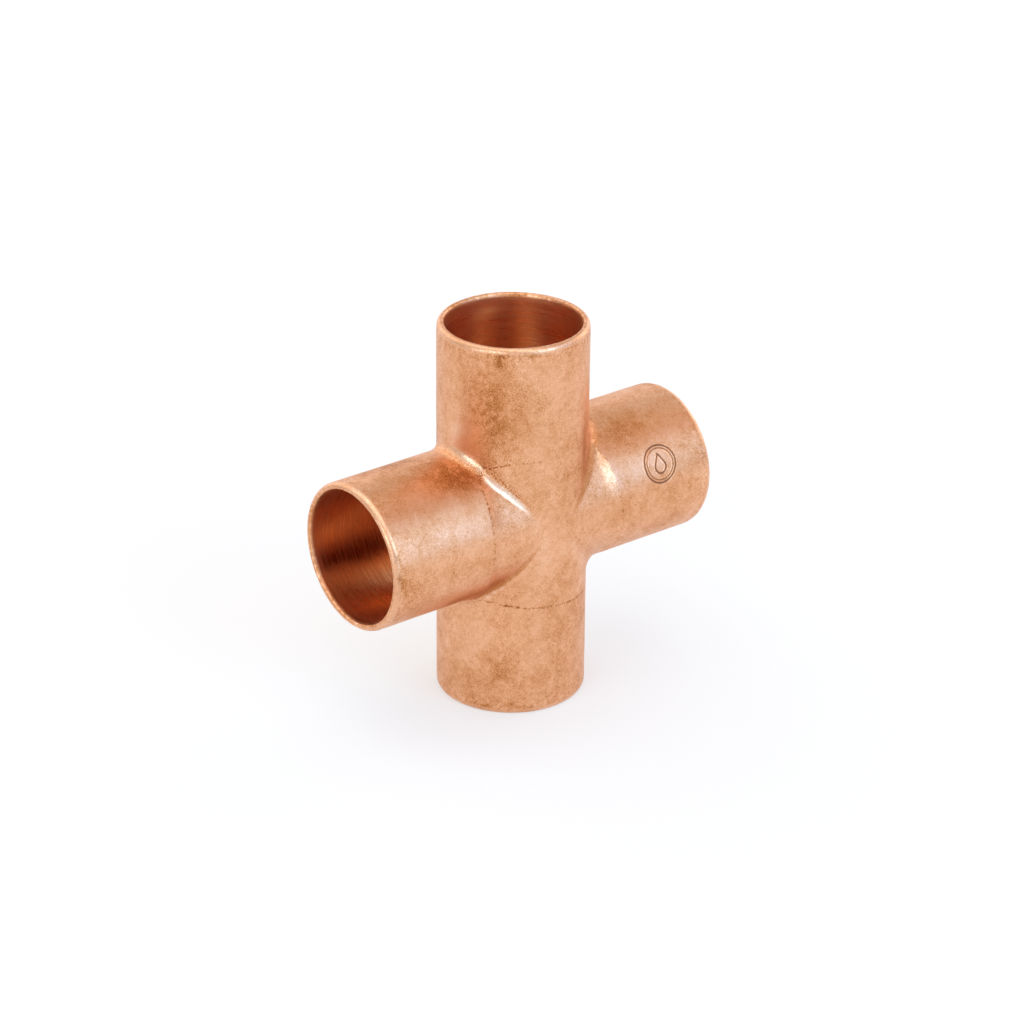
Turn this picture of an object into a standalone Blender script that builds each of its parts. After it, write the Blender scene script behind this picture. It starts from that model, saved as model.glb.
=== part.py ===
"""Equal cross for copper tube: one seamless piece of copper with four solder
sockets, all of one bore, whose axes lie in one plane and meet at one point.

Metres, +Z up. The origin is the point where the two runs cross. One run is
along X, the other along Z, so the cross is seen face on along Y.
"""

import math

import bmesh
import bpy
from mathutils import Matrix, Vector

# Socket for 22.2 mm tube
SOCKET_RADIUS = 0.01117
CUP_WALL = 0.00125
OUTER_RADIUS = SOCKET_RADIUS + CUP_WALL
REACH = 0.0328            # centre of the cross to the rim of a socket
STOP_DISTANCE = 0.0132    # centre of the cross to the shoulder that stops the tube

# Waterway behind the tube stops
WATERWAY_RADIUS = 0.01075
STOP_SLOPE = 0.00040      # length of the stop's conical shoulder, along the leg

# Blends
CROTCH_RADIUS = 0.0026    # outside, between neighbouring legs
INNER_CROTCH_RADIUS = 0.0018
RIM_OUTER_ROUND = 0.00075
RIM_INNER_ROUND = 0.00015

# Facets
LEGS = 4
COLUMNS = 56              # around one leg
CROTCH_STEPS = 5          # from a leg to the middle of the blend
INNER_CROTCH_STEPS = 4
OUTER_ROUND_STEPS = 4
INNER_ROUND_STEPS = 2

# Joining and shading
QUARTER_TURN = 0.5 * math.pi
MERGE_DISTANCE = 2e-6
SHORTEST_EDGE = 1e-7
SHARP_ANGLE = math.radians(35.0)

# Angles around a leg, from +X toward +Y; a column falls on each axis.
COLUMN_ANGLES = [2.0 * math.pi * k / COLUMNS for k in range(COLUMNS)]


def ring(radius, z):
    """A circle of points around the upper leg at one height."""
    return [Vector((radius * math.cos(a), radius * math.sin(a), z)) for a in COLUMN_ANGLES]


def slerp(start, end, share):
    """Unit vector the given share of the way from start to end."""
    turn = start.angle(end, 0.0)
    if turn < 1e-7:  # parallel: the division below would fail
        return start.copy()
    mix = start * math.sin((1.0 - share) * turn) + end * math.sin(share * turn)
    return mix / math.sin(turn)


def blend_row(radius, ball, share):
    """One row of the blend between the upper leg and its two neighbours.

    The blend is the path of a ball that rolls along the valley between two
    crossing cylinders of equal radius. Share 0 is where the ball touches the
    upper leg and share 1 is the plane midway between the two legs.
    """
    row = []
    for angle in COLUMN_ANGLES:
        side, across = math.cos(angle), math.sin(angle)
        if abs(side) < 1e-9:  # rounding error on the Y axis
            side = 0.0
        centre = Vector((side, across, abs(side))) * (radius + ball)
        to_leg = -Vector((side, across, 0.0)).normalized()
        to_neighbour = -Vector((0.0, across, abs(side))).normalized()
        row.append(centre + ball * slerp(to_leg, to_neighbour, 0.5 * share))
    return row


def rim_rows():
    """The outer round of the rim, then the inner one."""
    rows = []
    for k in range(OUTER_ROUND_STEPS + 1):
        turn = QUARTER_TURN * k / OUTER_ROUND_STEPS
        radius = OUTER_RADIUS - RIM_OUTER_ROUND * (1.0 - math.cos(turn))
        rows.append(ring(radius, REACH - RIM_OUTER_ROUND * (1.0 - math.sin(turn))))
    for k in range(INNER_ROUND_STEPS + 1):
        turn = QUARTER_TURN * k / INNER_ROUND_STEPS
        radius = SOCKET_RADIUS + RIM_INNER_ROUND * (1.0 - math.sin(turn))
        rows.append(ring(radius, REACH - RIM_INNER_ROUND * (1.0 - math.cos(turn))))
    return rows


def leg_rows():
    """Rows of points of the upper leg, from the outside valley over the rim
    and down through the bore to the inside valley."""
    outer_blend = [
        blend_row(OUTER_RADIUS, CROTCH_RADIUS, 1.0 - k / CROTCH_STEPS)
        for k in range(CROTCH_STEPS + 1)
    ]
    tube_stop = [
        ring(SOCKET_RADIUS, STOP_DISTANCE),
        ring(WATERWAY_RADIUS, STOP_DISTANCE - STOP_SLOPE),
    ]
    inner_blend = [
        blend_row(WATERWAY_RADIUS, INNER_CROTCH_RADIUS, k / INNER_CROTCH_STEPS)
        for k in range(INNER_CROTCH_STEPS + 1)
    ]
    return outer_blend + rim_rows() + tube_stop + inner_blend


def add_leg(mesh, turn):
    """The upper leg's skin, turned about Y into its place in the cross."""
    place = Matrix.Rotation(turn, 3, "Y")
    rings = [[mesh.verts.new(place @ point) for point in row] for row in leg_rows()]
    for near, far in zip(rings, rings[1:]):
        for k in range(COLUMNS):
            n = (k + 1) % COLUMNS
            mesh.faces.new((near[k], near[n], far[n], far[k]))


def copper():
    material = bpy.data.materials.new("copper")
    material.use_nodes = True
    shader = material.node_tree.nodes["Principled BSDF"]
    shader.inputs["Base Color"].default_value = (0.74, 0.36, 0.21, 1.0)
    shader.inputs["Metallic"].default_value = 1.0
    shader.inputs["Roughness"].default_value = 0.38
    return material


def cross_body():
    mesh = bmesh.new()
    for leg in range(LEGS):
        add_leg(mesh, leg * QUARTER_TURN)
    # The legs share their valley rows; the blend rows close up at poles on the Y axis.
    bmesh.ops.remove_doubles(mesh, verts=mesh.verts, dist=MERGE_DISTANCE)
    bmesh.ops.dissolve_degenerate(mesh, edges=mesh.edges, dist=SHORTEST_EDGE)
    bmesh.ops.triangulate(mesh, faces=mesh.faces, quad_method="SHORT_EDGE")
    bmesh.ops.recalc_face_normals(mesh, faces=mesh.faces)
    data = bpy.data.meshes.new("cross_body")
    mesh.to_mesh(data)
    mesh.free()
    data.materials.append(copper())
    data.shade_smooth()
    data.set_sharp_from_angle(angle=SHARP_ANGLE)
    body = bpy.data.objects.new("cross_body", data)
    bpy.context.scene.collection.objects.link(body)


for thing in list(bpy.data.objects):
    bpy.data.objects.remove(thing, do_unlink=True)

cross_body()
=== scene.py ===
"""Looks of a copper cross fitting: four equal socketed legs along +Z, +X, -Z and -X.

The cross is centred on the origin and its front faces -Y. The shape is worked
out in millimetres. Legs are numbered 0 up, 1 +X, 2 down, 3 -X, and each is
built as the upper one, then turned. Angles round a leg start at its side that
faces the next leg; 90 degrees is the back (+Y) and 270 the front.
"""

import math

import bmesh
import bpy
import numpy as np
from mathutils import Matrix, Vector, noise


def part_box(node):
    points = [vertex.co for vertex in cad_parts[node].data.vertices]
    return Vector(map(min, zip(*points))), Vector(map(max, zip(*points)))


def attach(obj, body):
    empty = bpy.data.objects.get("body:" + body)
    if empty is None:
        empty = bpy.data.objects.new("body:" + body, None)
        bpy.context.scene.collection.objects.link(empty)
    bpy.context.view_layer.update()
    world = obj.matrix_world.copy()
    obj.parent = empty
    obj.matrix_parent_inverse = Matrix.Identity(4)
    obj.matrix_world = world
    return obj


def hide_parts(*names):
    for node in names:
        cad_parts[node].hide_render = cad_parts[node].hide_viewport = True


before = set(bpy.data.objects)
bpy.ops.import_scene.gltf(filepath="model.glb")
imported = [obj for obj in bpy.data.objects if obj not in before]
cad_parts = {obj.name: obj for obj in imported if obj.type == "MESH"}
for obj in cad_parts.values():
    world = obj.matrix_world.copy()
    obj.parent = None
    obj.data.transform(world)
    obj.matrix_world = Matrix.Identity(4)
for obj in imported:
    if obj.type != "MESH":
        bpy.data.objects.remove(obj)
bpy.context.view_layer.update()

MM = 0.001

# ----------------------------------------------------------------------------
# Sizes in millimetres
# ----------------------------------------------------------------------------
node_low, node_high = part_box("cross_body")
RADIUS = node_high.y / MM            # outside radius of a leg
REACH = node_high.x / MM             # centre to rim
CUP_WALL = 1.25
SOCKET = RADIUS - CUP_WALL           # socket bore radius
WATERWAY = SOCKET - 0.42             # bore radius behind the tube stop
STOP = 13.2                          # centre to the tube stop
STOP_SLOPE = 0.40
RIM_OUT, RIM_OUT_TALL = 0.72, 1.05   # rounding of the rim, outside: across and along
RIM_IN, RIM_IN_TALL = 0.34, 0.95     # and inside
INNER_CROTCH = 1.8                   # blend radius where the bores meet
MIDDLE = 20.0                        # the blended middle stays within this of the centre
WELD = 2e-5                          # grid on which shared points are found

# One value per crotch: up to +X, +X to down, down to -X, -X to up
CROTCH = (3.2, 3.5, 2.3, 2.0)        # outside blend radius
CREASE_SHADE = (0.55, 0.10, 0.68, 0.0)     # how much painted shade it gets
LIP = (0.0, 0.0, 0.0, 0.45)          # the fine dark lip above it
VALLEY_BURNISH_HIGHLIGHT = (0.0, 0.0, 0.0, 0.62)     # painted highlight and burnish along its bottom

# Mesh counts
COLUMNS = 208
ROWS_BODY = 21                       # valley to the sizing line
ROWS_CUP_OUT = (24, 44, 24, 24)      # sizing line to the rim, per leg
ROWS_RIM = 7
ROWS_CUP_IN = 24
ROWS_STOP = 3
ROWS_WATERWAY = 5
ROWS_INNER_VALLEY = 5
LINE_OFFSETS = (-0.34, -0.20, -0.10, 0.0, 0.10, 0.20, 0.34)
# Rows of the rim's inside rounding: values of the layers "inner" and "edge"
RIM_IN_ROWS = ((0.0, 1.0), (0.0, 1.0), (0.0, 0.9), (0.1, 0.7), (1.0, 0.4))

# The two side outlets are a little slimmer than their sockets at the root: they
# rise to the line over WAIST_RUN. Degrees around the leg and depth.
WAIST_RUN = 2.6
WAIST = {
    1: ((0, 0.30), (90, 0.24), (180, 0.30), (215, 0.46), (238, 0.46), (252, 0.40),
        (266, 0.30), (300, 0.28), (360, 0.30)),
    3: ((0, 0.30), (90, 0.24), (180, 0.30), (230, 0.42), (262, 0.34), (285, 0.36),
        (305, 0.44), (330, 0.42), (360, 0.30)),
}

# Sizing line of each leg, in outside radii: middle height, lean toward +X or
# up, and sag toward the crotches
LINE_MIDDLE = (1.048, 1.085, 1.100, 1.058)
LINE_LEAN = (0.00, -0.14, 0.10, -0.01)
LINE_SAG = (0.150, 0.130, 0.070, 0.140)
LEAN_SIGN = (1.0, -1.0, -1.0, 1.0)   # turns a leg's own x toward +X or up
# How deep the line is pressed: degrees around the leg and share of LINE_PRESS
LINE_PRESS = 0.060
LINE_DEPTH = (
    ((0, 0.5), (60, 0.7), (120, 0.5), (180, 0.6), (205, 0.8), (213, 1.0), (222, 0.9),
     (232, 0.45), (255, 0.38), (270, 0.22), (290, 0.10), (330, 0.12), (360, 0.5)),
    ((0, 0.5), (90, 0.6), (180, 0.4), (229, 0.30), (250, 0.38), (271, 0.32), (294, 0.22),
     (330, 0.35), (360, 0.5)),
    ((0, 0.5), (90, 0.5), (180, 0.45), (215, 0.4), (249, 0.55), (265, 0.7), (281, 0.85),
     (308, 1.0), (325, 0.95), (340, 0.7), (360, 0.5)),
    ((0, 0.5), (90, 0.6), (180, 0.5), (215, 0.15), (240, 0.12), (263, 0.30), (280, 0.6),
     (289, 0.95), (304, 0.95), (318, 0.6), (330, 0.5), (360, 0.5)),
)

PHI = np.arange(COLUMNS) * 2.0 * math.pi / COLUMNS
COS, SIN = np.cos(PHI), np.sin(PHI)
COS[np.abs(COS) < 1e-9] = 0.0


def smooth(start, stop, x):
    """0 at start, 1 at stop, eased at both ends."""
    t = np.clip((x - start) / (stop - start), 0.0, 1.0)
    return t * t * (3.0 - 2.0 * t)


def by_degrees(knots, turn):
    """A table of degrees and values, read at the angle turn."""
    knots = np.array(knots)
    return np.interp(np.degrees(turn), knots[:, 0], knots[:, 1])


def layered_noise(places, scale, octaves, offset):
    """Layered Perlin noise, about -1 to 1, at places in millimetres."""
    out = np.zeros(len(places))
    gain, total = 1.0, 0.0
    for k in range(octaves):
        rate = scale * 2.0 ** k
        shift = 17.3 * k + offset
        out += gain * np.fromiter(
            (
                noise.noise(Vector((x * rate + shift, y * rate - shift, z * rate + 0.5 * shift)))
                for x, y, z in places
            ),
            float,
            len(places),
        )
        total += gain
        gain *= 0.5
    return out / total


# ----------------------------------------------------------------------------
# Surface of one leg: a ball rolls in the valley between two crossing cylinders
# ----------------------------------------------------------------------------
TO_BALL = np.stack([COS, SIN, np.abs(COS)], -1)
TO_LEG = -np.stack([COS, SIN, 0 * COS], -1)
TO_NEXT = -np.stack([0 * COS, SIN, np.abs(COS)], -1)
BALL_TURN = np.arccos(np.clip(SIN ** 2, -1.0, 1.0))   # angle from TO_LEG to TO_NEXT


def half_arc(ball):
    """Length of the blend from the valley to where the leg runs straight."""
    return ball * BALL_TURN / 2.0


def along(radius, ball, rise):
    """Points at the distance rise (rows x columns) from the valley, up the leg."""
    arc = half_arc(ball)
    centre = TO_BALL * (radius + ball)[:, None]
    t = np.where(arc > 1e-9, np.clip(rise / np.maximum(arc, 1e-9), 0.0, 1.0), 1.0)
    share = 0.5 * (1.0 - t)          # 0 on the leg, 0.5 in the valley
    safe = np.maximum(np.sin(BALL_TURN), 1e-9)
    curved = BALL_TURN > 1e-6
    leg_part = np.where(curved, np.sin((1.0 - share) * BALL_TURN) / safe, 1.0 - share)
    next_part = np.where(curved, np.sin(share * BALL_TURN) / safe, share)
    direction = leg_part[..., None] * TO_LEG + next_part[..., None] * TO_NEXT
    direction /= np.linalg.norm(direction, axis=-1, keepdims=True)
    surface = centre[None] + ball[None, :, None] * direction
    surface[..., 2] += np.maximum(rise - arc, 0.0)
    return surface


def rise_to(radius, ball, height):
    """Distance from the valley at which a column reaches the height, by halving."""
    low = np.zeros(COLUMNS)
    high = np.full(COLUMNS, 60.0)
    for _ in range(50):
        middle = 0.5 * (low + high)
        below = along(radius, ball, middle[None])[0, :, 2] < height
        low = np.where(below, middle, low)
        high = np.where(below, high, middle)
    return 0.5 * (low + high)


def line_height(leg):
    """The line that the sizing tool leaves round the root of a socket. It sags
    toward the crotches and meets the next leg's line in the valley."""
    from_crotch = np.degrees(np.arctan2(np.abs(SIN), np.abs(COS)))
    sag = LINE_SAG[leg] * np.exp(-(((from_crotch - 18.0) / 23.0) ** 2))
    z = LINE_MIDDLE[leg] + LINE_LEAN[leg] * (LEAN_SIGN[leg] * COS) - sag
    wobble = 0.006 * np.sin(5.0 * PHI + 1.3 * leg) + 0.004 * np.sin(11.0 * PHI + leg)
    return (z + wobble) * RADIUS


LINES = [line_height(leg) for leg in range(4)]

# Values kept at each vertex: inside the bore, on the sizing line, beyond that
# line, near the rim, in the stamped mark, and millimetres up the column
LAYERS = ("inner", "line", "cup", "edge", "mark", "u_mm")


def leg_grid(leg):
    """Rows of points in the upper leg's place, with their layers, from the
    outside valley over the rim to the inside valley."""
    rows, values = [], []

    def add_row(places, **given):
        rows.append(places)
        values.append([given.get(name, 0.0) + np.zeros(COLUMNS) for name in LAYERS])

    def ring(radius, z, inner, edge):
        places = np.stack([radius * COS, radius * SIN, np.full(COLUMNS, z)], -1)
        add_row(places, inner=inner, cup=1.0, edge=edge, u_mm=z)

    # Outside, up to the rim
    ball = np.where(COS >= 0.0, CROTCH[leg], CROTCH[(leg + 3) % 4])
    line = rise_to(RADIUS, ball, LINES[leg])
    met = smooth(0.0, 0.6, line - 0.02)                 # 0 where the valley swallows the line
    line_rise = np.maximum(line, 0.75)
    depth = by_degrees(LINE_DEPTH[leg], PHI)
    end = rise_to(RADIUS, ball, np.full(COLUMNS, REACH - RIM_OUT_TALL))

    rises = [(line_rise + LINE_OFFSETS[0]) * (k / ROWS_BODY) ** 1.35 for k in range(ROWS_BODY)]
    rises += [line_rise + offset for offset in LINE_OFFSETS]
    start = line_rise + LINE_OFFSETS[-1]
    cup_rows = ROWS_CUP_OUT[leg]
    rises += [start + (end - start) * k / cup_rows for k in range(1, cup_rows + 1)]
    rises = np.array(rises)
    for places, rise in zip(along(RADIUS, ball, rises), rises):
        away = (rise - line_rise) / 0.15
        add_row(
            places,
            line=np.exp(-away * away) * met * depth,
            cup=smooth(-0.15, 0.25, rise - line_rise),
            edge=np.exp(-(((end - rise) / 1.1) ** 2)),
            u_mm=rise,
        )

    # Over the rim
    for k in range(1, ROWS_RIM + 1):
        angle = 0.5 * math.pi * k / ROWS_RIM
        ring(
            RADIUS - RIM_OUT * (1 - math.cos(angle)),
            REACH - RIM_OUT_TALL * (1 - math.sin(angle)),
            inner=0.0,
            edge=1.0,
        )
    for k, (inner, edge) in enumerate(RIM_IN_ROWS):
        angle = 0.5 * math.pi * k / (len(RIM_IN_ROWS) - 1)
        ring(
            SOCKET + RIM_IN * (1 - math.sin(angle)),
            REACH - RIM_IN_TALL * (1 - math.cos(angle)),
            inner,
            edge,
        )

    # Down the socket and over the tube stop
    top = REACH - RIM_IN_TALL
    for k in range(1, ROWS_CUP_IN + 1):
        t = (k / ROWS_CUP_IN) ** 0.9
        ring(SOCKET, top + (STOP - top) * t, inner=1.0, edge=0.0)
    for k in range(1, ROWS_STOP + 1):
        t = k / ROWS_STOP
        eased = t * t * (3 - 2 * t)
        ring(SOCKET + (WATERWAY - SOCKET) * eased, STOP - STOP_SLOPE * t, inner=1.0, edge=0.0)

    # Down the waterway to the inside valley
    ball = np.full(COLUMNS, INNER_CROTCH)
    start = rise_to(WATERWAY, ball, np.full(COLUMNS, STOP - STOP_SLOPE))
    soft = np.minimum(np.maximum(half_arc(ball), 0.12 * start), 0.6 * start)
    rises = [start + (soft - start) * k / ROWS_WATERWAY for k in range(1, ROWS_WATERWAY + 1)]
    rises += [soft * (1 - k / ROWS_INNER_VALLEY) for k in range(1, ROWS_INNER_VALLEY + 1)]
    rises = np.array(rises)
    for places, rise in zip(along(WATERWAY, ball, rises), rises):
        add_row(places, inner=1.0, u_mm=rise)
    return np.array(rows), dict(zip(LAYERS, np.array(values).swapaxes(0, 1)))


def turned(places, leg):
    """From the upper leg's place to the leg's own: a quarter turn about Y per leg."""
    x, y, z = places[..., 0], places[..., 1], places[..., 2]
    for _ in range(leg):
        x, z = z, -x
    return np.stack([x, y, z], -1)


def build_legs():
    """Points, faces and layers of the whole cross, legs joined in the valleys."""
    points, faces = [], []
    layers = {name: [] for name in LAYERS + ("leg", "phi", "axial")}
    base = 0
    for leg in range(4):
        grid, values = leg_grid(leg)
        rows = grid.shape[0]
        points.append(turned(grid, leg).reshape(-1, 3))
        for name in LAYERS:
            layers[name].append(values[name].reshape(-1))
        layers["leg"].append(np.full(rows * COLUMNS, float(leg)))
        layers["phi"].append(np.tile(PHI, rows))
        layers["axial"].append(grid[..., 2].reshape(-1))
        index = base + np.arange(rows * COLUMNS).reshape(rows, COLUMNS)
        here, above = index[:-1], index[1:]
        corners = [here, np.roll(here, -1, 1), np.roll(above, -1, 1), above]
        faces.append(np.stack(corners, -1).reshape(-1, 4))
        base += rows * COLUMNS
    points = np.concatenate(points)
    faces = np.concatenate(faces)

    # The legs share their valley rows: make each shared point one point
    _, first, inverse = np.unique(
        np.round(points / WELD).astype(np.int64), axis=0, return_index=True, return_inverse=True
    )
    layers = {name: np.concatenate(parts)[first] for name, parts in layers.items()}
    return points[first], inverse.reshape(-1)[faces], layers


def vertex_normals(points, faces):
    corners = points[faces]
    across = np.cross(corners[:, 2] - corners[:, 0], corners[:, 3] - corners[:, 1])
    out = np.zeros_like(points)
    for k in range(4):
        np.add.at(out, faces[:, k], across)
    return out / np.maximum(np.linalg.norm(out, axis=1, keepdims=True), 1e-12)


points, faces, layers = build_legs()
normals = vertex_normals(points, faces)
# Faces must look out of the copper: the outermost point's normal points out
if normals[np.argmax(points[:, 0])][0] < 0:
    faces = faces[:, ::-1]
    normals = -normals


# ----------------------------------------------------------------------------
# Outside of the body: the slimmer side outlets meet the upright run in a fillet
# ----------------------------------------------------------------------------
def by_crotch(values, places):
    """A value per crotch, passing smoothly from one to the next."""
    right, up = smooth(-1.5, 1.5, places[:, 0]), smooth(-1.5, 1.5, places[:, 2])
    return (
        values[0] * right * up
        + values[1] * right * (1 - up)
        + values[2] * (1 - right) * (1 - up)
        + values[3] * (1 - right) * up
    )


def waist(places):
    """How much slimmer than RADIUS a side outlet is at each place."""
    out = np.zeros(len(places))
    for leg, sign in ((1, -1.0), (3, 1.0)):
        turn = np.mod(np.arctan2(places[:, 1], sign * places[:, 2]), 2.0 * math.pi)
        line = np.interp(turn, PHI, LINES[leg], period=2.0 * math.pi)
        below_line = np.clip((line - np.abs(places[:, 0])) / WAIST_RUN, 0.0, 1.0)
        rise = 1.0 - (1.0 - below_line) ** 2
        mine = places[:, 0] * -sign > 0
        out = np.where(mine, by_degrees(WAIST[leg], turn) * rise, out)
    return out


def skin(places):
    """Distances to the upright run and to the side outlets, and the fillet's
    radius there, which shrinks as the two grow parallel."""
    run = np.hypot(places[:, 0], places[:, 1])
    outlet = np.hypot(places[:, 1], places[:, 2])
    half = 0.5 * np.arccos(np.clip(places[:, 1] ** 2 / (run * outlet), -1.0, 1.0))
    fillet = by_crotch(CROTCH, places) * (1.0 - np.cos(half)) / (1.0 - math.sqrt(0.5))
    return run - RADIUS, outlet - (RADIUS - waist(places)), np.maximum(fillet, 1e-6)


def off_skin(places):
    """Signed distance to the filleted skin."""
    run, outlet, fillet = skin(places)
    inside = np.hypot(np.maximum(fillet - run, 0.0), np.maximum(fillet - outlet, 0.0))
    return np.maximum(fillet, np.minimum(run, outlet)) - inside


outer = 1.0 - layers["inner"]
body = np.nonzero((layers["inner"] == 0.0) & (np.abs(points).max(1) < MIDDLE))[0]
moved = np.zeros(len(body))
for _ in range(24):
    moved -= 0.7 * off_skin(points[body] + normals[body] * moved[:, None])
points[body] += normals[body] * np.clip(moved, -1.2, 1.2)[:, None]
normals = vertex_normals(points, faces)


# ----------------------------------------------------------------------------
# Painted shade and painted highlights in the crotches and on the rims, with a fine dark lip and
# smoother burnish
# ----------------------------------------------------------------------------
def spot(place, size):
    """A soft ball: 1 at the place, fading over the size."""
    return np.exp(-((points - np.array(place)) ** 2).sum(1) / size ** 2)


run, outlet, fillet = skin(points)
sunk = np.clip(1.0 - run / fillet, 0.0, 1.0) * np.clip(1.0 - outlet / fillet, 0.0, 1.0)
folded = outer * smooth(0.02, 0.35, fillet) * (np.abs(points).max(1) < MIDDLE)
layers["valley"] = folded * smooth(0.0, 0.5, sunk)
# Painted shade: the creases are darkened brown, standing for the shade they reflect
layers["crease_shade"] = folded * smooth(0.02, 0.36, sunk) * by_crotch(CREASE_SHADE, points)
# In the crotch of the -X and -Z legs the painted shade keeps to the side leg
below = (points[:, 0] < 0.0) & (points[:, 2] < 0.0)
layers["crease_shade"] *= 1.0 - below * smooth(0.35, -0.35, points[:, 2] - points[:, 0])
layers["lip"] = (
    folded
    * np.exp(-(((outlet - fillet) / (0.25 + 0.35 * fillet)) ** 2))
    * np.exp(-((run / 0.20) ** 2))
    * by_crotch(LIP, points)
    * smooth(-11.4, -10.4, points[:, 0])
    * smooth(-6.2, -7.6, points[:, 0])
)

# Painted highlights on burnished spots, which are also smoother: x, y, z, size, strength
BURNISH_HIGHLIGHT_SPOTS = (
    # on the fillet of the +X leg
    (12.40, -9.90, 7.40, 1.4, 0.10),
    (12.32, -10.92, 5.70, 1.6, 0.22),
    (12.53, -11.77, 3.61, 1.5, 0.25),
    # beside the pinches of the upper -X crotch
    (-12.20, -3.00, 13.00, 0.9, 0.40),
    (-11.80, -4.30, 12.60, 0.8, 0.60),
    (-11.20, -5.70, 11.70, 0.6, 0.50),
    # and of the lower one
    (-10.30, -7.00, -11.20, 0.45, 0.40),
    (-9.70, -7.90, -10.20, 0.40, 0.45),
    (-8.95, -8.75, -9.20, 0.40, 0.35),
)
# Painted highlight and burnish along the bottom of the valley between the -X and +Z legs, on the
# side that turns to the front lamps
layers["burnish_highlight"] = (
    folded
    * smooth(0.08, 0.38, sunk)
    * by_crotch(VALLEY_BURNISH_HIGHLIGHT, points)
    * smooth(-4.5, -6.5, points[:, 0])
    * smooth(-11.4, -10.6, points[:, 0])
    * smooth(-0.66, -0.44, normals[:, 0])
)
for *place, size, strength in BURNISH_HIGHLIGHT_SPOTS:
    layers["burnish_highlight"] += outer * strength * spot(place, size)
layers["burnish_highlight"] = np.clip(layers["burnish_highlight"], 0.0, 1.0)

# The outer rounding of the rims, where they rub on things: worn smoother, and painted lighter
# and whiter as a highlight
upright = layers["leg"] % 2 == 0
radial = np.hypot(np.where(upright, points[:, 0], points[:, 2]), points[:, 1])
layers["rim_rub_highlight"] = (
    outer
    * layers["edge"]
    * 0.26
    * smooth(RADIUS - 0.75, RADIUS - 0.45, radial)
    * smooth(RADIUS - 0.002, RADIUS - 0.02, radial)
)

# ----------------------------------------------------------------------------
# Small shapes: what forming, sizing, deburring and handling leave
# ----------------------------------------------------------------------------
# Pinches in the crotches, where the lines of two legs meet: x, y, z, size, depth
PINCHES = (
    (-11.35, -6.30, 11.00, 0.50, 0.15),
    (-12.05, -4.30, 12.35, 0.28, 0.06),
    (-12.20, -3.70, 12.75, 0.24, 0.05),
    (11.60, -6.00, 10.90, 0.70, 0.06),
    (-11.30, -6.90, -10.90, 0.80, 0.08),
    (11.90, -6.20, -11.30, 0.80, 0.07),
    (11.40, 6.50, 11.00, 0.80, 0.08),
    (-11.60, 6.00, 11.20, 0.80, 0.07),
    (11.60, 6.20, -11.20, 0.80, 0.07),
    (-11.40, 6.40, -10.90, 0.80, 0.09),
)
lift = np.zeros(len(points))

# Wall that isn't quite a cylinder
slow = layered_noise(points, scale=0.075, octaves=2, offset=3.0)
quick = layered_noise(points, scale=0.22, octaves=2, offset=41.0)
lift += outer * (0.055 * slow + 0.012 * quick)

# The sizing line: a fine broken groove
broken = 0.62 + 0.9 * layered_noise(points, scale=0.75, octaves=2, offset=90.0)
lift -= outer * LINE_PRESS * layers["line"] * np.clip(broken, 0.0, 1.3)

layers["pinch"] = np.zeros(len(points))
for *place, size, depth in PINCHES:
    lift -= outer * depth * spot(place, size)
    layers["pinch"] += outer * spot(place, 0.8 * size)

# Rim: deburred by hand, so its rounding wanders and has small nicks
ragged = layered_noise(points, scale=0.9, octaves=3, offset=7.0)
nick = np.clip(layered_noise(points, scale=1.6, octaves=2, offset=61.0) - 0.28, 0.0, 1.0)
lift += layers["edge"] * (0.020 * ragged - 0.10 * nick)
lift -= layers["edge"] * 0.01

# Turning marks in the sockets
bore = layers["inner"] * smooth(STOP - 1.0, STOP + 0.5, layers["axial"])
unrolled = np.stack(
    [
        layers["axial"] * 1.4,
        0.6 * np.cos(layers["phi"]),
        0.6 * np.sin(layers["phi"]) + layers["leg"],
    ],
    -1,
)
lift += bore * 0.012 * layered_noise(unrolled, scale=0.9, octaves=2, offset=5.0)

points = points + normals * lift[:, None]
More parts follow.
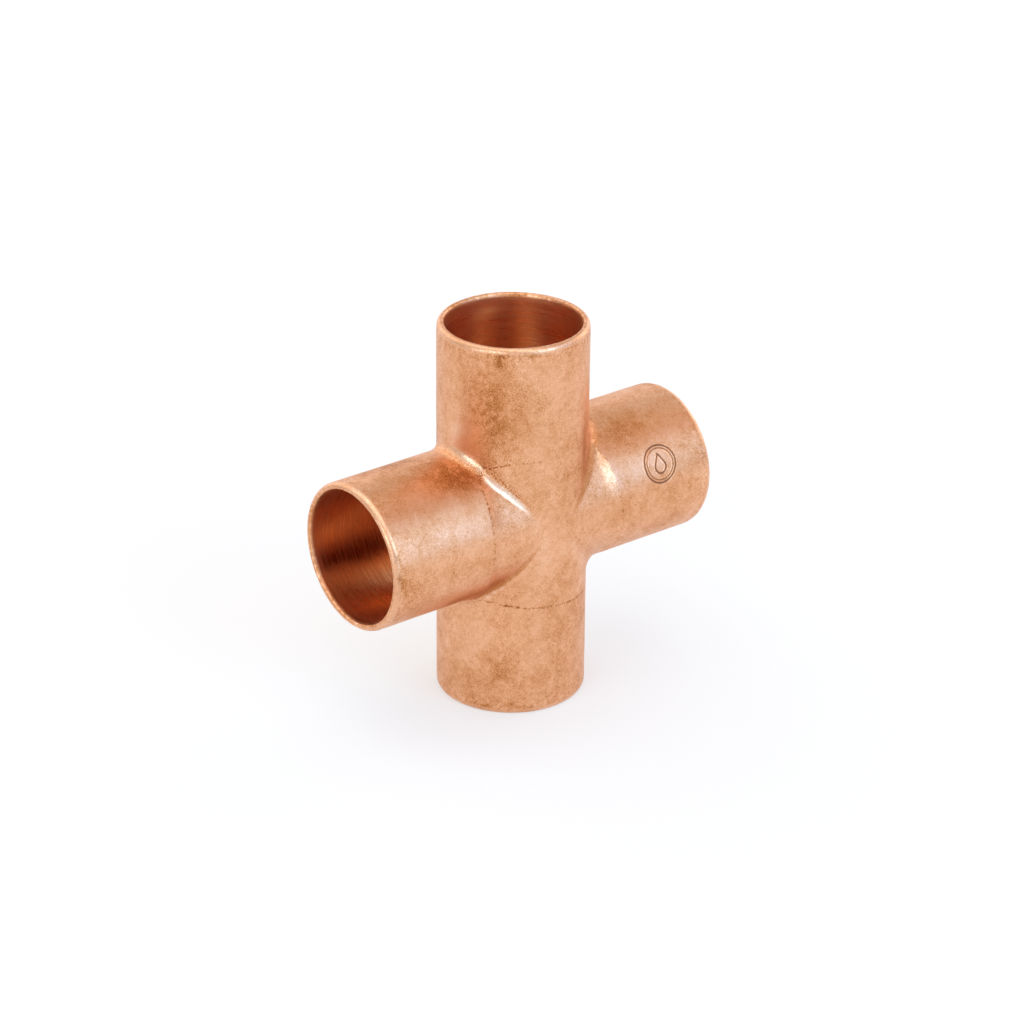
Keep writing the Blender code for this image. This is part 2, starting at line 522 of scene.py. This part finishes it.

# ----------------------------------------------------------------------------
# Stains: where the copper has browned, where it is soiled with fine specks, and patches of
# painted shade
# ----------------------------------------------------------------------------
# leg, degrees around it, mm from the centre, spread around and along in mm, depth
# Besides browning, some of these patches are painted shade, darker where the legs reflect dark
# surroundings; negative depths lighten
STAINS_AND_SHADE = (
    (3, 334.0, 15.0, 3.6, 3.6, 0.50),
    (3, 224.0, 22.0, 3.0, 3.5, -0.16),
    (0, 188.0, 16.0, 3.4, 3.8, -0.36),
    (0, 213.0, 23.0, 3.6, 6.0, 0.20),
    (0, 259.0, 22.0, 3.4, 6.0, -0.16),
    (0, 302.0, 11.5, 1.1, 4.5, 0.22),
    (0, 298.0, 22.0, 2.6, 5.0, -0.14),
    (2, 320.0, 22.8, 2.8, 5.0, 0.18),
    (2, 297.0, 23.0, 2.2, 4.5, -0.12),
    (2, 271.0, 23.0, 2.2, 4.5, 0.08),
    (1, 186.0, 13.5, 3.0, 3.5, 0.20),
    (3, 20.0, 22.0, 4.0, 6.0, 0.30),
    (0, 227.0, 31.9, 2.2, 0.55, 0.22),
    (0, 222.0, 30.8, 0.8, 1.1, 0.45),
    (0, 243.0, 32.0, 1.1, 0.4, 0.18),
    (3, 290.0, 32.2, 0.9, 0.35, 0.60),
    (3, 274.0, 32.1, 0.9, 0.35, 0.50),
    (3, 262.0, 31.0, 2.5, 1.6, 0.20),
    (0, 214.0, 19.0, 3.5, 6.0, 0.22),
    (0, 300.0, 20.0, 2.5, 6.0, 0.10),
    (1, 214.0, 18.0, 4.0, 6.0, 0.25),
    (2, 300.0, 26.0, 5.0, 3.0, 0.14),
    (2, 240.0, 17.5, 4.0, 2.5, 0.18),
    (3, 236.0, 28.0, 5.0, 4.0, 0.05),
    (3, 300.0, 18.0, 4.0, 4.0, -0.12),
    (3, 304.0, 24.0, 3.5, 3.5, 0.08),
    (3, 344.0, 19.3, 3.0, 3.0, 0.12),
    (0, 246.0, 24.0, 3.5, 5.0, 0.12),
    (1, 236.0, 19.0, 3.5, 5.0, -0.16),
    (0, 60.0, 24.0, 6.0, 4.0, 0.30),
    (0, 130.0, 17.0, 5.0, 6.0, 0.25),
    (1, 80.0, 22.0, 6.0, 7.0, 0.30),
    (1, 140.0, 28.0, 4.0, 3.0, 0.25),
    (2, 70.0, 20.0, 7.0, 5.0, 0.30),
    (2, 120.0, 29.0, 5.0, 2.5, 0.30),
    (3, 100.0, 18.0, 6.0, 5.0, 0.25),
    (3, 60.0, 29.0, 4.0, 3.0, 0.25),
)
# Painted shade: warm brown darkening on the legs beside the creases, where they reflect dark
# surroundings; in the same columns
WARM_SHADE = (
    (3, 224.0, 14.0, 1.9, 3.2, 1.20),
    (3, 223.5, 18.2, 1.7, 2.4, 1.50),
    (3, 231.5, 10.6, 1.5, 1.9, 0.80),
    (0, 302.0, 11.5, 1.0, 4.5, 0.80),
)


def turn_from(degrees):
    """Signed angle round the leg from the given one, in radians."""
    return np.angle(np.exp(1j * (layers["phi"] - math.radians(degrees))))


def patches(table):
    """Sum of the soft oval patches of a table, on the outside of the legs."""
    total = np.zeros(len(points))
    for leg, degrees, axial, around, length, depth in table:
        away = turn_from(degrees) * RADIUS / around
        squared = away ** 2 + ((layers["axial"] - axial) / length) ** 2
        mine = np.where(layers["leg"] == leg, smooth(3.0, 9.0, layers["axial"]), 0.0)
        total += depth * np.exp(-squared) * mine * outer
    return total


layers["stain_and_shade"] = patches(STAINS_AND_SHADE)
layers["stain_and_shade"] -= 0.16 * outer * spot((-3.0, -RADIUS, -4.0), 5.0)
layers["warm_shade"] = patches(WARM_SHADE)

# A pale patch of dried flux in the upper socket
around = turn_from(76.0) * SOCKET
layers["deposit"] = np.where(layers["leg"] == 0, layers["inner"], 0.0) * np.exp(
    -((around / 2.4) ** 2) - ((layers["axial"] - 29.6 + 0.25 * around) / 0.9) ** 2
)

# A dark streak along the back of the -X socket, and a fainter one beside it
in_left = np.where(layers["leg"] == 3, layers["inner"], 0.0)
streak = np.degrees(turn_from(119.0))
streak += 4.0 * layered_noise(points, scale=0.30, octaves=2, offset=71.0)
layers["dark_streak"] = (
    in_left
    * np.exp(-((streak / np.where(streak > 0, 9.0, 12.0)) ** 2))
    * smooth(32.6, 30.8, layers["axial"])
    * (0.45 + 0.75 * smooth(14.0, 23.0, layers["axial"]))
)
layers["dark_streak"] += in_left * 0.30 * np.exp(-((np.degrees(turn_from(140.0)) / 12.0) ** 2))

layers["soil"] = np.clip(
    0.35
    + 0.45 * layered_noise(points, scale=0.16, octaves=2, offset=23.0)
    + 0.45 * layers["valley"]
    + 0.50 * layers["stain_and_shade"]
    + 0.18 * layers["edge"],
    0.0,
    1.0,
) * outer

# ----------------------------------------------------------------------------
# Mesh
# ----------------------------------------------------------------------------
mesh = bpy.data.meshes.new("copper_cross")
mesh.vertices.add(len(points))
mesh.vertices.foreach_set("co", (points * MM).astype(np.float32).reshape(-1))
mesh.loops.add(len(faces) * 4)
mesh.loops.foreach_set("vertex_index", faces.astype(np.int32).reshape(-1))
mesh.polygons.add(len(faces))
mesh.polygons.foreach_set("loop_start", np.arange(0, len(faces) * 4, 4, dtype=np.int32))
mesh.update(calc_edges=True)
mesh.validate()
for name, value in layers.items():
    attribute = mesh.attributes.new(name, "FLOAT", "POINT")
    attribute.data.foreach_set("value", value.astype(np.float32))

# ----------------------------------------------------------------------------
# Stamped mark on the +X leg: a water drop in a double ring, on a finer patch
# ----------------------------------------------------------------------------
MARK_AXIAL = 22.3                    # centre of the mark from the cross's centre
MARK_TURN = math.radians(24.5)       # above the front line of the leg
MARK_RADIUS = 3.2
RING_GAP = 0.50                      # outer ring to inner ring
RING_FAINTER = 0.06                  # counted as distance, so the inner ring is shallower
PATCH = 4.0                          # half width of the finer patch
PATCH_CUTS = 4
DROP_RADIUS, DROP_CENTRE, DROP_TIP = 1.10, -0.50, 1.80
GROOVE_WIDTH, GROOVE_DEPTH = 0.13, 0.115
BURR_AWAY, BURR_WIDTH, BURR_HEIGHT = 0.27, 0.10, 0.030   # raised edge of the groove


def drop_outline():
    """A water drop: a round bottom and two straight sides to the point."""
    touch = math.acos(DROP_RADIUS / (DROP_TIP - DROP_CENTRE))
    start, stop = math.pi / 2 + touch, math.pi / 2 - touch + 2 * math.pi
    arc = [
        (DROP_RADIUS * math.cos(angle), DROP_CENTRE + DROP_RADIUS * math.sin(angle))
        for angle in np.linspace(start, stop, 60)
    ]
    return np.array([(0.0, DROP_TIP)] + arc + [(0.0, DROP_TIP)])


def distance_to_line(places, line):
    start = line[:-1]
    step = line[1:] - start
    offset = places[:, None] - start[None]
    t = np.clip((offset * step).sum(-1) / (step * step).sum(-1), 0, 1)
    gap = offset - t[..., None] * step
    return np.sqrt((gap * gap).sum(-1)).min(1)


def near_mark(edit, reach):
    """Outside front vertices within reach of the mark's centre, and their
    millimetres from it along the leg and round it."""
    inner = edit.verts.layers.float["inner"]
    vertices, places = [], []
    for vertex in edit.verts:
        if vertex.co.y < 0 and vertex[inner] < 0.01:
            axial = vertex.co.x / MM - MARK_AXIAL
            around = (math.atan2(vertex.co.z, -vertex.co.y) - MARK_TURN) * RADIUS
            if abs(axial) < reach and abs(around) < reach:
                vertices.append(vertex)
                places.append((axial, around))
    return vertices, np.array(places)


def stamp_mark():
    edit = bmesh.new()
    edit.from_mesh(mesh)
    patch = set(near_mark(edit, PATCH)[0])
    edges = [edge for edge in edit.edges if edge.verts[0] in patch and edge.verts[1] in patch]
    bmesh.ops.subdivide_edges(edit, edges=edges, cuts=PATCH_CUTS, use_grid_fill=True)

    vertices, places = near_mark(edit, PATCH + 0.2)
    from_ring = np.hypot(places[:, 0], places[:, 1]) - MARK_RADIUS
    to_rings = np.minimum(np.abs(from_ring), np.abs(from_ring + RING_GAP) + RING_FAINTER)
    away = np.minimum(to_rings, distance_to_line(places, drop_outline()))
    grooves = np.exp(-((away / GROOVE_WIDTH) ** 2))
    burrs = np.exp(-(((away - BURR_AWAY) / BURR_WIDTH) ** 2))
    mark = edit.verts.layers.float["mark"]
    for vertex, groove, burr in zip(vertices, grooves, burrs):
        out = Vector((0.0, vertex.co.y, vertex.co.z)).normalized()
        vertex.co += out * ((BURR_HEIGHT * burr - GROOVE_DEPTH * groove) * MM)
        vertex[mark] = groove
    bmesh.ops.triangulate(edit, faces=[face for face in edit.faces if len(face.verts) > 4])
    edit.to_mesh(mesh)
    edit.free()


stamp_mark()
mesh.shade_smooth()

cross = bpy.data.objects.new("copper_cross", mesh)
bpy.context.scene.collection.objects.link(cross)
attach(cross, "root")
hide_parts("cross_body")


# ----------------------------------------------------------------------------
# Finish
# ----------------------------------------------------------------------------
class Nodes:
    """Short calls for building a node tree. Values are sockets or constants."""

    def __init__(self, tree):
        self.tree = tree

    def new(self, kind, **settings):
        node = self.tree.nodes.new(kind)
        for name, value in settings.items():
            setattr(node, name, value)
        return node

    def put(self, value, socket):
        if hasattr(value, "is_output"):
            self.tree.links.new(value, socket)
        else:
            socket.default_value = value

    def math(self, operation, first, second=0.0, third=0.0, clamp=False):
        node = self.new("ShaderNodeMath", operation=operation, use_clamp=clamp)
        for value, socket in zip((first, second, third), node.inputs):
            self.put(value, socket)
        return node.outputs[0]

    def add(self, total, *others):
        for other in others:
            total = self.math("ADD", total, other)
        return total

    def times(self, first, second, clamp=False):
        return self.math("MULTIPLY", first, second, clamp=clamp)

    def centred(self, value, gain):
        """A noise swung about zero."""
        return self.times(self.math("SUBTRACT", value, 0.5), gain)

    def layer(self, name):
        return self.new("ShaderNodeAttribute", attribute_name=name).outputs["Fac"]

    def noise(self, vector, scale, detail, rough, distortion=0.0):
        node = self.new("ShaderNodeTexNoise")
        self.put(vector, node.inputs["Vector"])
        node.inputs["Scale"].default_value = scale
        node.inputs["Detail"].default_value = detail
        node.inputs["Roughness"].default_value = rough
        node.inputs["Distortion"].default_value = distortion
        return node.outputs["Fac"]

    def ramp(self, value, span, to=(0.0, 1.0)):
        """A smooth step: the ends of span become the ends of to."""
        node = self.new("ShaderNodeMapRange", interpolation_type="SMOOTHSTEP")
        self.put(value, node.inputs["Value"])
        self.put(span[0], node.inputs["From Min"])
        self.put(span[1], node.inputs["From Max"])
        self.put(to[0], node.inputs["To Min"])
        self.put(to[1], node.inputs["To Max"])
        return node.outputs["Result"]

    def mix(self, share, base, over, kind="RGBA"):
        node = self.new("ShaderNodeMix", data_type=kind)
        self.put(share, node.inputs["Factor"])
        self.put(base, node.inputs["A"])
        self.put(over, node.inputs["B"])
        return node.outputs["Result"]

    def vector(self, operation, first, second, socket=1):
        node = self.new("ShaderNodeVectorMath", operation=operation)
        self.put(first, node.inputs[0])
        self.put(second, node.inputs[socket])
        return node.outputs

    def scaled(self, vector, factor):
        return self.vector("SCALE", vector, factor, socket="Scale")["Vector"]


# Outside colour by tone: 0 is burnished copper, 1 is the darkest tarnish
TONES = (
    (0.00, (0.915, 0.578, 0.388)),
    (0.22, (0.848, 0.460, 0.268)),
    (0.45, (0.755, 0.367, 0.186)),
    (0.65, (0.634, 0.272, 0.108)),
    (0.82, (0.488, 0.182, 0.055)),
    (1.00, (0.335, 0.102, 0.028)),
)
# Painted highlight colour of the burnished spots and rubbed rims
BURNISH_HIGHLIGHT_TINT = (0.97, 0.72, 0.56, 1.0)
MARK_DIRT = (0.20, 0.135, 0.105, 1.0)
# Painted shade colour of the creases
CREASE_SHADE_BROWN = (0.490, 0.170, 0.046, 1.0)
# Painted shade colour beside the creases
WARM_SHADE_BROWN = (0.490, 0.156, 0.036, 1.0)
BORE_LIGHT = (0.89, 0.490, 0.262, 1.0)
BORE_DARK = (0.81, 0.41, 0.200, 1.0)
FLUX = (0.98, 0.51, 0.18, 1.0)
BORE_DARK_STREAK = (0.24, 0.060, 0.026, 1.0)
UNCLEANED = (0.42, 0.150, 0.062, 1.0)
# Specks of oxide: cells per mm, dot size in mm, largest share of cells, depth
SPECKS = ((1.35, 0.075, 0.62, 0.34), (2.6, 0.050, 0.50, 0.26))


def speck(nodes, place, soil, scale, size, most, depth):
    """Round dots, close together where the skin is soiled."""
    cell = nodes.new("ShaderNodeTexVoronoi")
    nodes.put(place, cell.inputs["Vector"])
    cell.inputs["Scale"].default_value = scale
    dice = nodes.new("ShaderNodeSeparateColor")
    nodes.put(cell.outputs["Color"], dice.inputs[0])
    wanted = nodes.math("LESS_THAN", dice.outputs[0], nodes.times(soil, most))
    width = nodes.times(nodes.add(0.5, dice.outputs[1]), size * scale)
    away = nodes.math("DIVIDE", cell.outputs["Distance"], width)
    dot = nodes.times(nodes.ramp(away, span=(0.6, 1.6), to=(depth, 0.0)), wanted)
    return nodes.times(dot, nodes.add(0.4, dice.outputs[2]))


def outside_finish(nodes, place, mottle, grain):
    """Colour, roughness and bump height of the outside."""
    edge, mark = nodes.layer("edge"), nodes.layer("mark")
    soil, crease_shade = nodes.layer("soil"), nodes.layer("crease_shade")
    pinch = nodes.layer("pinch")
    wide = nodes.noise(place, scale=0.10, detail=2.0, rough=0.5, distortion=0.4)
    cloud = nodes.noise(place, scale=0.40, detail=3.0, rough=0.6, distortion=0.3)
    dust = nodes.noise(place, scale=8.5, detail=1.0, rough=0.5)

    # Tone of the skin, from wide clouds to fine dust
    ragged = nodes.add(nodes.centred(cloud, gain=1.6), nodes.centred(mottle, gain=1.2))
    tone = nodes.add(
        0.435,
        nodes.centred(wide, gain=0.42),
        nodes.centred(cloud, gain=0.55),
        nodes.centred(mottle, gain=0.47),
        nodes.times(nodes.centred(grain, gain=0.70), nodes.add(0.42, soil)),
        nodes.times(nodes.centred(dust, gain=1.35), nodes.add(0.40, soil)),
        nodes.times(nodes.layer("stain_and_shade"), nodes.math("ADD", 1.0, ragged, clamp=True)),
    )
    for row in SPECKS:
        tone = nodes.add(tone, speck(nodes, place, soil, *row))

    # The pressed line and the mark hold dirt; the creases get painted shade
    uneven = nodes.add(nodes.times(mottle, 0.4), nodes.times(grain, 0.6))
    broken = nodes.ramp(uneven, span=(0.44, 0.60))
    tone = nodes.add(
        tone,
        nodes.times(nodes.times(nodes.layer("line"), broken), 0.85),
        nodes.times(mark, 0.80),
        nodes.times(crease_shade, nodes.ramp(mottle, span=(0.30, 0.60), to=(0.10, 0.24))),
        nodes.times(pinch, nodes.ramp(grain, span=(0.40, 0.60), to=(0.0, 0.55))),
        nodes.times(nodes.layer("lip"), nodes.ramp(grain, span=(0.42, 0.60), to=(0.0, 0.9))),
    )

    # The rim is uneven in tone. Painted highlights: the rubbed rim roundings and the burnished
    # spots are made lighter, whiter and smoother
    worn = nodes.times(edge, nodes.ramp(mottle, span=(0.36, 0.62), to=(0.10, -0.09)))
    tone = nodes.math("SUBTRACT", tone, worn)
    bright = nodes.times(
        nodes.layer("burnish_highlight"), nodes.ramp(grain, span=(0.30, 0.55), to=(1.0, 0.72))
    )
    bright = nodes.times(bright, nodes.math("SUBTRACT", 1.0, pinch, clamp=True))
    rubbed_highlight = nodes.times(nodes.layer("rim_rub_highlight"), nodes.ramp(mottle, span=(0.42, 0.58)))
    bright = nodes.math("MAXIMUM", bright, rubbed_highlight)
    tone = nodes.math("SUBTRACT", tone, nodes.times(bright, 0.45), clamp=True)

    colours = nodes.new("ShaderNodeValToRGB")
    nodes.put(tone, colours.inputs[0])
    band = colours.color_ramp
    while len(band.elements) < len(TONES):
        band.elements.new(0.5)
    for element, (position, tint) in zip(band.elements, TONES):
        element.position = position
        element.color = (*tint, 1.0)
    # Painted highlight: burnished spots and rubbed rims mixed toward a pale colour
    colour = nodes.mix(nodes.times(bright, 0.85), colours.outputs[0], BURNISH_HIGHLIGHT_TINT)
    colour = nodes.mix(nodes.times(mark, 0.70), colour, MARK_DIRT)
    # Painted shade: the creases mixed toward brown
    colour = nodes.mix(nodes.times(crease_shade, 0.62), colour, CREASE_SHADE_BROWN)
    # Painted shade: warm brown beside the creases
    warmth = nodes.ramp(mottle, span=(0.25, 0.55), to=(1.0, 0.8))
    colour = nodes.mix(nodes.times(nodes.layer("warm_shade"), warmth), colour, WARM_SHADE_BROWN)

    by_tone = nodes.ramp(tone, span=(0.1, 0.9), to=(0.33, 0.50))
    rough = nodes.add(by_tone, nodes.centred(grain, gain=0.10))
    rough = nodes.mix(bright, rough, 0.24, kind="FLOAT")
    height = nodes.add(*(nodes.times(layer, 0.30) for layer in (mottle, grain, dust)))
    return colour, rough, height


def bore_finish(nodes, mottle):
    """Colour, roughness and bump height of the bore: fresh metal, fine turned rings."""
    deposit, phi = nodes.layer("deposit"), nodes.layer("phi")
    unrolled = nodes.new("ShaderNodeCombineXYZ")
    nodes.put(nodes.layer("u_mm"), unrolled.inputs[0])
    nodes.put(nodes.times(nodes.math("COSINE", phi), 0.24), unrolled.inputs[1])
    nodes.put(nodes.times(nodes.math("SINE", phi), 0.24), unrolled.inputs[2])
    rings = nodes.noise(unrolled.outputs[0], scale=2.4, detail=4.0, rough=0.75)
    fine_rings = nodes.noise(unrolled.outputs[0], scale=7.0, detail=2.0, rough=0.6)

    colour = nodes.mix(nodes.ramp(rings, span=(0.30, 0.74)), BORE_LIGHT, BORE_DARK)
    patchy = nodes.ramp(mottle, span=(0.35, 0.60), to=(0.5, 1.0))
    colour = nodes.mix(nodes.times(deposit, patchy), colour, FLUX)
    streaky = nodes.ramp(fine_rings, span=(0.35, 0.60), to=(1.0, 0.60))
    # Darkens a streak in the -X socket toward a near-black brown
    colour = nodes.mix(nodes.times(nodes.layer("dark_streak"), streaky, clamp=True), colour, BORE_DARK_STREAK)
    # Beyond the tube stops the metal was never cleaned
    beyond = nodes.ramp(nodes.layer("axial"), span=(STOP - 0.4, STOP + 0.2), to=(0.85, 0.0))
    colour = nodes.mix(beyond, colour, UNCLEANED)

    by_ring = nodes.ramp(rings, span=(0.3, 0.7), to=(0.24, 0.36))
    rough = nodes.add(by_ring, nodes.times(deposit, 0.12))
    height = nodes.add(nodes.times(rings, 0.29), nodes.times(fine_rings, 0.20))
    return colour, rough, height


def copper_material():
    material = bpy.data.materials.new("copper")
    material.use_nodes = True
    nodes = Nodes(material.node_tree)
    shader = material.node_tree.nodes["Principled BSDF"]
    place = nodes.new("ShaderNodeTexCoord").outputs["Object"]
    place = nodes.scaled(place, 1.0 / MM)
    inner = nodes.ramp(nodes.layer("inner"), span=(0.40, 0.70))
    mottle = nodes.noise(place, scale=1.25, detail=3.0, rough=0.65, distortion=0.2)
    grain = nodes.noise(place, scale=3.6, detail=2.0, rough=0.65)

    colour, rough, height = outside_finish(nodes, place, mottle, grain)
    bore_colour, bore_rough, bore_height = bore_finish(nodes, mottle)
    nodes.put(nodes.mix(inner, colour, bore_colour), shader.inputs["Base Color"])
    shader.inputs["Metallic"].default_value = 1.0
    nodes.put(nodes.mix(inner, rough, bore_rough, kind="FLOAT"), shader.inputs["Roughness"])

    bump = nodes.new("ShaderNodeBump")
    bump.inputs["Strength"].default_value = 0.85
    bump.inputs["Distance"].default_value = 0.00005
    nodes.put(nodes.mix(inner, height, bore_height, kind="FLOAT"), bump.inputs["Height"])
    nodes.put(bump.outputs["Normal"], shader.inputs["Normal"])
    return material


mesh.materials.clear()
mesh.materials.append(copper_material())


# ----------------------------------------------------------------------------
# Stage: a pale floor that glows a little
# ----------------------------------------------------------------------------
FLOOR_HALF = 4.0                     # metres


def make_floor():
    floor_mesh = bpy.data.meshes.new("floor")
    corners = ((-1, -1), (1, -1), (1, 1), (-1, 1))
    floor_mesh.from_pydata(
        [(x * FLOOR_HALF, y * FLOOR_HALF, node_low.z) for x, y in corners], [], [(0, 1, 2, 3)]
    )
    floor = bpy.data.objects.new("floor", floor_mesh)
    bpy.context.scene.collection.objects.link(floor)
    material = bpy.data.materials.new("floor")
    material.use_nodes = True
    inputs = material.node_tree.nodes["Principled BSDF"].inputs
    inputs["Base Color"].default_value = (0.42, 0.42, 0.42, 1)
    inputs["Emission Color"].default_value = (1, 1, 1, 1)
    inputs["Emission Strength"].default_value = 0.48
    inputs["Roughness"].default_value = 0.9
    inputs["Specular IOR Level"].default_value = 0.1
    floor_mesh.materials.append(material)


make_floor()

# ----------------------------------------------------------------------------
# Light tent. Directions are azimuth and elevation in degrees: azimuth 0 is in
# front, at -Y, and grows toward +X.
# ----------------------------------------------------------------------------
# Wide grey lamps on a dome: elevation, then azimuth and strength of each
WIDE_TIGHTNESS = 10
WIDE_LAMPS = (
    (12, ((-150, 0.51), (-120, 0.22), (-90, 0.22), (-60, 0.22), (-30, 0.22), (0, 0.06),
          (30, 0.06), (60, 0.06), (90, 2.02), (120, 0.61), (150, 0.66), (180, 1.02))),
    (40, ((-140, 0.75), (-100, 0.15), (-60, 0.15), (-20, 0.06), (20, 0.06), (60, 0.06),
          (100, 0.11), (140, 0.06), (180, 0.39))),
    (68, ((-144, 0.60), (-72, 0.60), (0, 0.06), (72, 0.06), (144, 0.06))),
    (90, ((0, 1.32),)),
)
# Small lamps, mostly in front: azimuth, elevation, strength in red, green and blue
SMALL_TIGHTNESS = 45
SMALL_LAMPS = (
    (0, 10, (0.07, 0.46, 0.85)),
    (20, 10, (1.59, 2.31, 3.29)),
    (40, 10, (0.42, 0.56, 1.17)),
    (-30, 28, (0.17, 0.00, 0.00)),
    (-10, 28, (0.00, 0.00, 0.15)),
    (10, 28, (2.45, 3.50, 4.55)),
    (30, 28, (0.00, 0.25, 0.91)),
    (50, 28, (0.96, 1.23, 1.61)),
    (70, 28, (0.09, 0.00, 0.00)),
    (-20, 44, (1.21, 1.12, 1.21)),
    (0, 44, (0.66, 0.88, 0.99)),
    (20, 44, (0.13, 0.35, 0.46)),
    (40, 44, (0.15, 0.14, 0.04)),
    (60, 44, (0.17, 0.00, 0.00)),
    (-20, 62, (1.39, 1.13, 1.08)),
    (20, 62, (0.33, 0.00, 0.00)),
    (60, 62, (0.06, 0.00, 0.00)),
)
# Soft boxes with clear edges, in front and at the left: azimuth, elevation,
# half their width in degrees, strength in red, green and blue
BOXES = (
    (-45, 9, 9, (1.30, 1.55, 1.75)),
    (-25, 9, 9, (1.10, 1.30, 1.50)),
    (-7, 8, 8, (0.90, 1.10, 1.30)),
    (9, 24, 13, (0.75, 1.10, 1.50)),
    (-67, 19, 13, (3.60, 4.40, 5.00)),
    (-90, 11, 9, (2.80, 3.40, 3.90)),
)


def toward(azimuth, elevation):
    """Unit vector of a direction, angles in radians."""
    return (
        math.sin(azimuth) * math.cos(elevation),
        -math.cos(azimuth) * math.cos(elevation),
        math.sin(elevation),
    )


def light_tent():
    world = bpy.data.worlds.new("studio")
    bpy.context.scene.world = world
    world.use_nodes = True
    nodes = Nodes(world.node_tree)
    view = nodes.new("ShaderNodeTexCoord").outputs["Generated"]
    total = (0.0, 0.0, 0.0)

    def facing(azimuth, elevation):
        direction = toward(math.radians(azimuth), math.radians(elevation))
        return nodes.vector("DOT_PRODUCT", view, direction)["Value"]

    def plus(colour, share):
        return nodes.vector("ADD", nodes.scaled(colour, share), total)["Vector"]

    lamps = [
        (azimuth, elevation, WIDE_TIGHTNESS, (strength,) * 3)
        for elevation, ring in WIDE_LAMPS
        for azimuth, strength in ring
    ]
    lamps += [
        (azimuth, elevation, SMALL_TIGHTNESS, colour)
        for azimuth, elevation, colour in SMALL_LAMPS
    ]
    for azimuth, elevation, tightness, colour in lamps:
        dot = facing(azimuth, elevation)
        fall = nodes.math("MULTIPLY_ADD", dot, tightness, -tightness)
        total = plus(colour, nodes.math("EXPONENT", fall))
    for azimuth, elevation, width, colour in BOXES:
        span = (math.cos(math.radians(width)), math.cos(math.radians(0.75 * width)))
        total = plus(colour, nodes.ramp(facing(azimuth, elevation), span))
    background = world.node_tree.nodes["Background"]
    background.inputs["Strength"].default_value = 1.0
    nodes.put(total, background.inputs["Color"])


light_tent()

# ----------------------------------------------------------------------------
# Camera
# ----------------------------------------------------------------------------
AZIMUTH, ELEVATION, ROLL = -0.6707, 0.4535, 0.0089           # radians
DISTANCE, SHIFT_X, SHIFT_Y = 46.561, -0.0022, 0.1117         # in outside radii
SENSOR, LENS = 36.0, 123.451171875                           # mm


def make_camera():
    data = bpy.data.cameras.new("camera")
    camera = bpy.data.objects.new("camera", data)
    bpy.context.scene.collection.objects.link(camera)
    bpy.context.scene.camera = camera
    back = Vector(toward(AZIMUTH, ELEVATION))
    side = Vector((0, 0, 1)).cross(back).normalized()
    up = back.cross(side)
    right = side * math.cos(ROLL) + up * math.sin(ROLL)
    above = up * math.cos(ROLL) - side * math.sin(ROLL)
    place = (right * -SHIFT_X + above * -SHIFT_Y + back * DISTANCE) * (RADIUS * MM)
    turn = Matrix((right, above, back)).transposed().to_4x4()
    camera.matrix_world = Matrix.Translation(place) @ turn
    data.sensor_width = SENSOR
    data.sensor_fit = "HORIZONTAL"
    data.lens = LENS
    data.clip_start = 0.01
    data.clip_end = 50.0


make_camera()

scene = bpy.context.scene
scene.view_settings.view_transform = "Standard"
scene.view_settings.look = "None"
scene.cycles.max_bounces = 16
scene.cycles.glossy_bounces = 12
